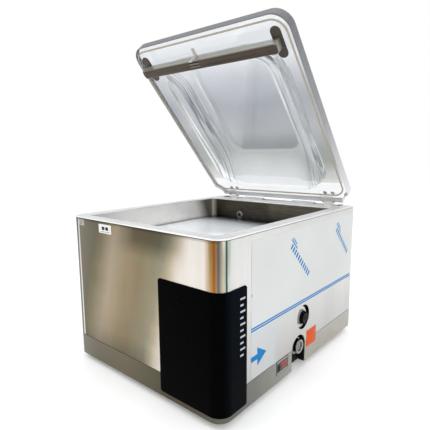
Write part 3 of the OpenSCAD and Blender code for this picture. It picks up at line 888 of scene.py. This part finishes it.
# --- oil side
def oil_side():
    # filler cap: a plug, a collar and a ribbed grip with a dished face
    grip, ribs, depth = range(10, 14), 16, 0.12

    def ribbed(k, r, a):
        if k not in grip:
            return r
        return r * (1 - depth * (0.5 - 0.5 * cos(ribs * a)) ** 0.6)
    profile = [(224, 0.01), (224, 8.6), (224.4, 8.9), (236.2, 8.9), (236.2, 17.6), (236.9, 18.4),
               (239, 18.5), (241.4, 18.2), (242.4, 17.2), (242.6, 15.6), (243.4, 15.2),
               (249.2, 15.1), (250.6, 14.8), (251.4, 14), (251.7, 12.6), (251.2, 11.4),
               (251.3, 6), (251.9, 5.2), (252, 4), (252, 0.01)]
    cap = turned("oil_cap_knob", profile, CAP, "X", 144, ("knob", "flange"), "plastic_black",
                 "oil_filler_cap", body="oil_cap", shape=ribbed)
    flange_end, grip_radius = mm(242.3, 14.9)
    y, z = mm(*CAP[1:])
    for p in cap.data.polygons:
        if p.center.x < flange_end and hypot(p.center.y - y, p.center.z - z) > grip_radius:
            p.material_index = 1
    # pale machined collar of the pump casing round the cap, its colour also raised against
    # the shade of its hole
    collar = [(236.05, 19), (236.05, 25.4), (236.6, 25.9), (237.6, 25.9), (238.2, 25.3),
              (238.2, 22.4), (237.6, 21.6), (237.6, 19.6), (237.2, 19), (236.05, 19)]
    turned("filler_collar", collar, CAP, "X", 72, ["collar"])
    # sight glass: stepped chromed ring round a domed lens
    ring = [(230, 11), (230, 20.5), (230.5, 21), (237.4, 21), (238, 20.4), (238.2, 18),
            (238.9, 17.5), (246.8, 17.5), (248.6, 17), (249.4, 15.9), (249.5, 14.6),
            (249.3, 13), (248.6, 11.6), (247.8, 11.05), (230, 11)]
    turned("sight_ring", ring, GLASS, "X", 72, ["ring"], "chrome", "sight_glass_ring")
    dome = [(240, 0.01), (240, 11), (245.6, 11), (246.4, 9), (247.1, 5.5), (247.4, 2.5),
            (247.45, 0.01)]
    turned("sight_lens", dome, GLASS, "X", 48, ["lens"], "oil_glass", "sight_glass_lens", 60)


def shade_slot_sheets():
    """A dark lining round the arched opening, and a back wall behind the sight glass:
    near-black sheets put in as painted shade inside the opening.
    """
    radius, cy, cz, foot, wall = 31.4, -7, 62.8, 16, 1.2

    def arch(r):
        return [(cy - r, foot)] + arc(cy, cz, r, 180, 0, 24) + [(cy + r, foot)]
    outer, inner = arch(radius), arch(radius - wall)
    verts = [mm(x, y, z) for x in (243.2, 226) for y, z in outer + inner]
    n = len(outer)
    faces = []
    for a in range(n - 1):
        b, c, d = a + n, a + 2 * n, a + 3 * n
        faces += [(a, a + 1, b + 1, b), (c, d, d + 1, c + 1), (a, c, c + 1, a + 1),
                  (b, b + 1, d + 1, d)]
    faces += [(0, n, 3 * n, 2 * n), (n - 1, 3 * n - 1, 4 * n - 1, 2 * n - 1)]
    add_mesh("slot_shade_lining", (verts, faces), ["slot"], smooth=30)
    # the back wall has a round hole for the glass's flange
    axis_z, hole_radius = GLASS[2], 22.6
    turns = [radians(a) for a in range(0, 360, 6)]
    hole = [(cy + hole_radius * cos(a), axis_z + hole_radius * sin(a)) for a in turns]
    edge = [cast(inner, cy, axis_z, a) for a in turns]
    rings = [[mm(x, y, z) for y, z in line] for x, line in
             ((227.2, edge), (227.2, hole), (226.1, hole), (226.1, edge))]
    add_mesh("slot_back", loft(rings, wrap=True), ["slot"], smooth=30)


def feet():
    profile = [(0.6, 0.01), (0.6, 6), (0, 7), (0, 16), (0.35, 17), (1.2, 17.7),
               (4, 19.6), (5, 20), (13.4, 20), (14.4, 19.7), (15, 18.9), (15, 0.01)]
    for row, y in (("front", -250), ("rear", 250)):
        for side, x in (("left", -200), ("right", 200)):
            node = "foot_%s_%s" % (row, side)
            turned(node + "_pad", profile, (x, y, 0), "Z", 48, ["rubber"], "rubber_black", node)


# --- control panel
def wrap_path(s, off):
    """Point off the housing's skin: s runs along the front, round the near corner and back."""
    bend = CORNER * pi / 2
    if s <= 0:
        return (BEND + s, -FRONT - off)
    if s >= bend:
        return (SIDE + off, CORNER - FRONT + (s - bend))
    a = s / CORNER
    return (BEND + (CORNER + off) * sin(a), CORNER - FRONT - (CORNER + off) * cos(a))


def control_panel():
    """A cover bent round the near corner, with rounded corners and a rounded rim."""
    left, on_side, bottom, top, radius = 78, 49, 27, 277, 5.5
    start, end = left - BEND, CORNER * pi / 2 + on_side
    rim, base = 1.3, 1.2  # the rim's rounding, and how far it starts from the skin
    columns = [0.5 - 0.5 * cos(pi * k / 96) for k in range(97)]

    def ring(inset, off):
        a, b, lo, hi = start + inset, end - inset, bottom + inset, top - inset
        r = max(0.5, radius - inset)
        lower, upper = [], []
        for w in columns:
            s = a + (b - a) * w
            d = max(0, r - min(s - a, b - s))
            c = r - sqrt(max(0, r * r - d * d))
            x, y = wrap_path(s, off)
            lower.append(mm(x, y, lo + c))
            upper.append(mm(x, y, hi - c))
        return lower + upper[::-1]

    rings = [ring(0.9, 0.2), ring(0, 0.3)]
    for k in range(7):
        a = radians(90 * k / 6)
        rings.append(ring(rim * (1 - cos(a)), base + rim * sin(a)))
    verts, faces = loft(rings)
    n, m = len(columns), 2 * len(columns)
    faces += sheet_ends((0, (len(rings) - 1) * m), n, m)
    add_mesh("control_panel_cover", (verts, faces), ["panel"], "panel_black", "control_panel", 40)


# --- counter bar under the lid
def under_lid(points):
    """(y, z) points from the counter bar's middle and the lid's underside, made absolute."""
    return [(BAR_Y + y, LID_Z + z) for y, z in points]


def counter_bar():
    flank = [(-11.5, -3.4), (-11.5, -12.6), (-10.7, -13.2), (-10.7, -14.4), (-11.5, -15),
             (-11.5, -26.2), (-10.8, -27), (-9, -27), (-9, -22)]
    rail = flank + [(-y, z) for y, z in flank[::-1]] + [(10.6, -2.4), (-10.6, -2.4)]
    half, seat, crest = 9, -22, -26.6
    bead = [(7.6 * cos(a), crest - 1.9 * sin(a))
            for a in (radians(d) for d in range(180, -1, -15))]
    strip = [(-half, seat), (-half, crest)] + bead + [(half, crest), (half, seat)]
    for name, profile, chamfer, key, smooth, slot, node in (
            ("counter_rail", rail, 0.6, "rail", 25, "anodised", "counter_bar"),
            ("counter_strip", strip, 0.4, "silicone", 40, "silicone", "silicone_strip")):
        shape = extrude_x(under_lid(profile), BAR_HALF, chamfer)
        add_mesh(name, shape, [key], slot, node, smooth, "lid")


def rail_tag():
    """A strip of pale tape across the rim, down the rail's front flank and round its lip."""
    path = [(-31, -0.12), (-13.2, -0.12), (-11.9, -0.8), (-11.62, -2.2), (-11.62, -26.3),
            (-11.2, -27.2), (-9.6, -27.2)]
    out = ((0, -0.25), (0, -0.25), (-0.2, -0.2), (-0.25, 0), (-0.25, 0), (-0.2, -0.2), (0, -0.25))
    back = [(y + dy, z + dz) for (y, z), (dy, dz) in zip(path, out)]
    profile = under_lid(path + back[::-1])
    m = len(profile)
    verts, faces = loft([[mm(x, y, z) for y, z in profile] for x in (-35, -24)])
    faces += sheet_ends((0, m), len(path), m)
    add_mesh("rail_tape", (verts, faces), ["tape"], smooth=30, body="lid")


def bar_clips():
    """Round-ended pads that hold the counter bar to the lid."""
    half, front, rear, radius = 12.5, -267.5, -194.5, 12.4
    for node, x in (("bar_pad_left", -207), ("bar_pad_right", 207)):
        rings = []
        for i, drop in ((0, 0), (0, 1.3), (0.3, 1.9), (1.1, 2.4), (3, 2.4), (3.4, 2), (3.8, 2)):
            edge = rounded(x - half + i, x + half - i, front + i, rear - i, radius - i, 12)
            rings.append([mm(px, py, LID_Z - drop) for px, py in edge])
        add_mesh(node + "_clip", loft(rings, ends=True), ["clip"], "clip_brown", node, 30, "lid")


# --- screws
def socket_heads(name, node, body, axis, places, base, radius, height, segments):
    """Domed screw heads with a hexagon socket, as one piece."""
    socket = 6  # the profile's first point in the socket
    profile = [(base, 0.01), (base, radius - 0.2)]
    profile += [(base + height * h, radius * r) for h, r in
                ((0.25, 1), (0.55, 0.93), (0.85, 0.74), (1, 0.52))]
    profile += [(base + height - 0.2, radius * 0.46), (base + height * 0.45, radius * 0.44),
                (base + height * 0.42, 0.01)]

    def hexed(k, r, a):
        if k < socket or r < 0.1:
            return r
        return r * 0.93 / cos((a + pi / 6) % (pi / 3) - pi / 6)
    heads = gather([loft(spun(profile, place, axis, segments, hexed), ends=True)
                    for place in places])
    add_mesh(name, heads, ["machined"], "screw", node, body=body)


def screws():
    socket_heads("lid_screw_heads", "lid_screws", "lid", "Z",
                 [(x, 256, 0) for x in (-187, -163, 163, 187)], LID_Z + RIM, 6, 3.5, 36)
    socket_heads("rear_screw_heads", "rear_screws", "housing", "Y",
                 [(x, 0, z) for x in (-230, 0, 230) for z in (78, 362)], 300, 4, 2, 32)


# --- film, labels and stickers
def plate_grid(us, vs, at, inside):
    """A thin sheet from a grid of cells; at(u, v, top) gives a point, inside(u, v) keeps a
    cell."""
    index, faces = {}, []

    def vid(i, j, top):
        return index.setdefault((i, j, top), len(index))
    keep = {(i, j) for i in range(len(us) - 1) for j in range(len(vs) - 1)
            if inside((us[i] + us[i + 1]) / 2, (vs[j] + vs[j + 1]) / 2)}
    for i, j in keep:
        faces.append((vid(i, j, 1), vid(i + 1, j, 1), vid(i + 1, j + 1, 1), vid(i, j + 1, 1)))
        faces.append((vid(i, j, 0), vid(i, j + 1, 0), vid(i + 1, j + 1, 0), vid(i + 1, j, 0)))
        for di, dj, a, b in ((-1, 0, (i, j + 1), (i, j)), (1, 0, (i + 1, j), (i + 1, j + 1)),
                             (0, -1, (i, j), (i + 1, j)), (0, 1, (i + 1, j + 1), (i, j + 1))):
            if (i + di, j + dj) not in keep:
                faces.append((vid(*a, 0), vid(*b, 0), vid(*b, 1), vid(*a, 1)))
    return [at(us[i], vs[j], top) for i, j, top in index], faces


def film():
    """The peel-off film, slightly wavy, with two corners that have come loose."""
    front, rear, bottom, top = -205, 288, 69, 360
    step_y, step_z = -113, 171  # behind step_y the film ends at step_z
    us = sorted({front + (rear - front) * k / 116 for k in range(117)} | {step_y})
    vs = sorted({bottom + (top - bottom) * k / 80 for k in range(81)} | {step_z})

    def loose(y, z, reach, height):
        return max(0, 1 - hypot(y, z) / reach) ** 2 * height

    def at(y, z, outer):
        wave = (0.1 * sin(y * 0.061 + z * 0.023)
                + 0.08 * sin(y * 0.019 - z * 0.047 + 1.3) + 0.18)
        lift = loose(y - step_y, z - bottom, 26, 1.6) + loose(y - rear, z - step_z, 24, 1.2)
        thick = 0.15 if outer else 0
        return mm(SIDE + max(0.02, wave) * (1 if outer else 0.12) + lift + thick, y, z)
    sheet = plate_grid(us, vs, at, lambda y, z: z > step_z or y < step_y)
    add_mesh("film_sheet", sheet, ["film"], "film", "protective_film", 40)


def card(name, key, axis, a0, a1, b0, b1, slot=None, node=None, thick=0.4):
    """A card with rounded corners and softened rim, on the front ("Y") or the right side."""
    rings = []
    for inset, d in ((0, 0), (0, thick * 0.7), (0.25, thick)):
        edge = rounded(a0 + inset, a1 - inset, b0 + inset, b1 - inset, 1.5, 6)
        rings.append([mm(p, -(FRONT + d), q) if axis == "Y" else mm(SIDE + d, p, q)
                      for p, q in edge])
    add_mesh(name, loft(rings, ends=True), [key], slot, node, 30)


def printed(name, ground, across, marks):
    """A printed card: ground colour with soft-edged generic blocks, in mm. Across is the
    coordinate that runs over the card, 0 for x or 1 for y."""
    n = Net(name)
    co = n.xyz()
    dim = tuple(c * 0.93 for c in ground)
    base = n.mix(0.5, ground, n.cloud(60, 3, 0.3, 0.7, dim, ground))
    for colour, boxes in marks:
        for box in boxes:
            a0, a1, z0, z1 = mm(*box)
            ink = n.mul(band(n, co[across], a0, a1, 0.00025), band(n, co[2], z0, z1, 0.00025))
            base = n.mix(ink, base, colour)
    n.put(color=base, rough=n.cloud(40, 3, 0.3, 0.7, 0.34, 0.46), spec=0.08)
    n.bump(n.noise(n.co, 500, 2), 0.08, 0.0003)
    M[name] = n.mat


def labels():
    printed("front_label_print", srgb(226, 226, 222), 0, [
        (srgb(46, 46, 48), [(-114, -103, 354.5, 362.5), (-100, -89, 354.5, 362.5)]),
        (srgb(120, 120, 122), [(-120, -84, 350, 351.5)])])
    printed("corner_label_print", srgb(168, 165, 155), 0, [
        (srgb(120, 116, 104), [(-206, -192, 365.5, 367.5), (-206, -200, 359, 363)])])
    printed("side_sticker_print", srgb(216, 84, 18), 1, [
        (srgb(164, 62, 22), [(37, 77, 84.5, 86.5), (37, 70, 78.5, 80), (37, 75, 72.5, 74),
                             (37, 77, 65, 66.5), (37, 66, 57.5, 59)])])
    printed("band_label_print", srgb(84, 84, 86), 1, [
        (srgb(170, 170, 168), [(-105, -59, 62, 64.5), (-105, -59, 35.5, 38)]),
        (srgb(30, 30, 32), [(-103, -90, 41, 56)]),
        (srgb(186, 52, 40), [(-86, -62, 50.5, 56.5), (-80, -66, 41, 46)])])
    card("corner_card", "corner_label_print", "Y", -210, -188, 356, 371, thick=0.25)
    card("front_card", "front_label_print", "Y", -126, -78, 347, 368, "label_white",
         "front_label")
    card("side_card", "side_sticker_print", "X", 31.5, 82, 49, 92, "label_orange",
         "side_sticker")
    card("band_card", "band_label_print", "X", -108, -56, 34, 66, "label_grey", "band_label")


make_camera()
make_world()
area("key", (-1.4, -1.6, 2.4), (0, 0, 0.3), 1.8, 22)
area("fill", (2.2, -0.6, 1.6), (0, 0, 0.2), 1.6, 14)
area("top", (0.2, 0.4, 2.8), (0, 0, 0.3), 2.2, 16)
make_floor()
carried()
lid_gasket()
oil_side()
shade_slot_sheets()
feet()
control_panel()
counter_bar()
rail_tag()
bar_clips()
screws()
film()
labels()
lid_glass()
